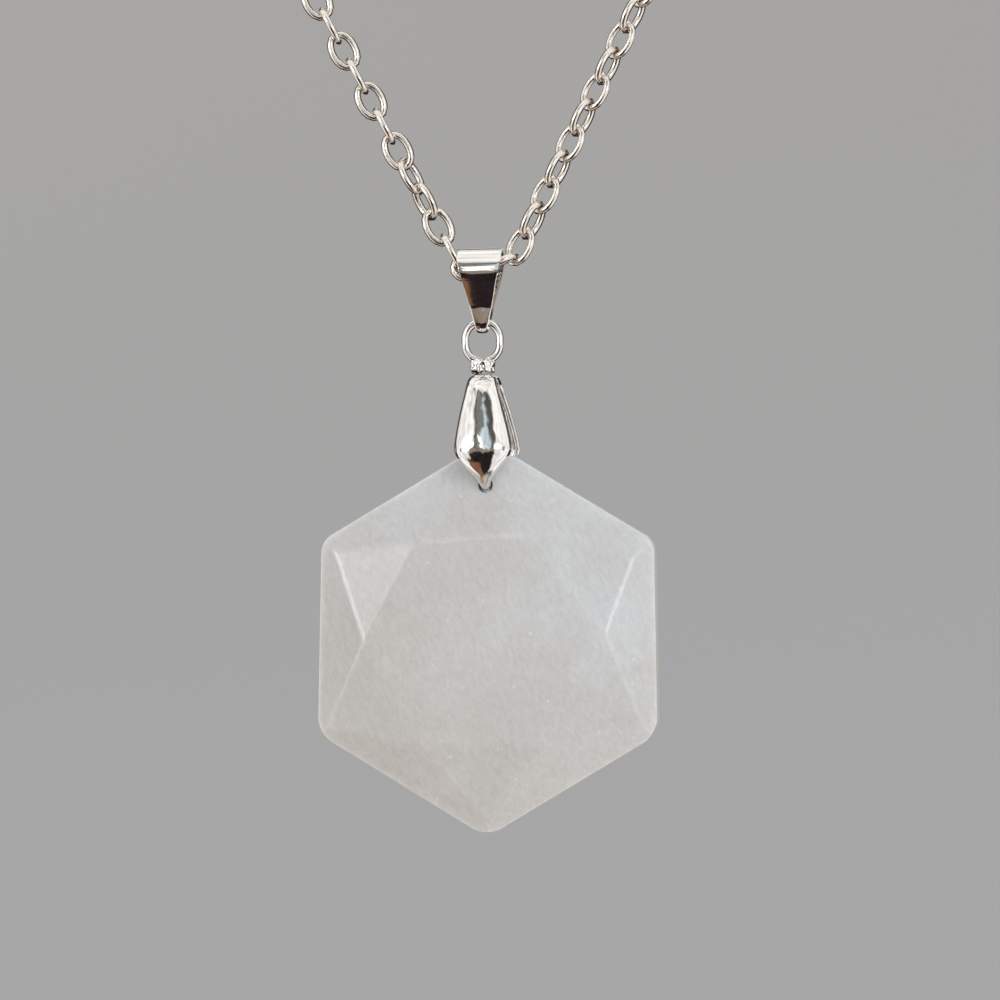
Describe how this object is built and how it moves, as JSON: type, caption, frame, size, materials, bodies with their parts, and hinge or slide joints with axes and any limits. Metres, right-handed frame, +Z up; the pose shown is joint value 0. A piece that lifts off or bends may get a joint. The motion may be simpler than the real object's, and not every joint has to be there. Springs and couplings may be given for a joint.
{
  "type": "faceted crystal pendant on a cable chain",
  "caption": "Hexagonal milky crystal with star-cut facets, held by a domed pinch bail in a folded bail on a closed oval cable chain.",
  "frame": {"origin": "top of the chain's loop on the middle line of its wire, where the necklace hangs on the nape", "axes": "+X to the right as the front is seen, the front faces -Y, +Z up"},
  "size_m": [0.1169, 0.0098, 0.23],
  "materials": {
    "crystal": "milky white quartz, cut and polished",
    "bail_metal": "silver-coloured plate over brass, polished",
    "chain_metal": "silver-coloured plate over brass, drawn wire, tumbled"
  },
  "bodies": {
    "chain": {"chain_left": "chain_metal", "chain_right": "chain_metal", "clasp": "chain_metal"},
    "bail": {"hanging_bail": "bail_metal"},
    "pendant": {"pinch_bail": "bail_metal", "stone": "crystal"}
  },
  "joints": [
    {"name": "bail_swing", "type": "hinge", "parent": "chain", "child": "bail", "pos_m": [-0.00047, 0, -0.17865], "axis": [1, 0, 0], "range_deg": [-60, 60]},
    {"name": "pendant_sway", "type": "hinge", "parent": "bail", "child": "pendant", "pos_m": [-0.00047, 0, -0.18465], "axis": [0, 1, 0], "range_deg": [-60, 60]}
  ]
}
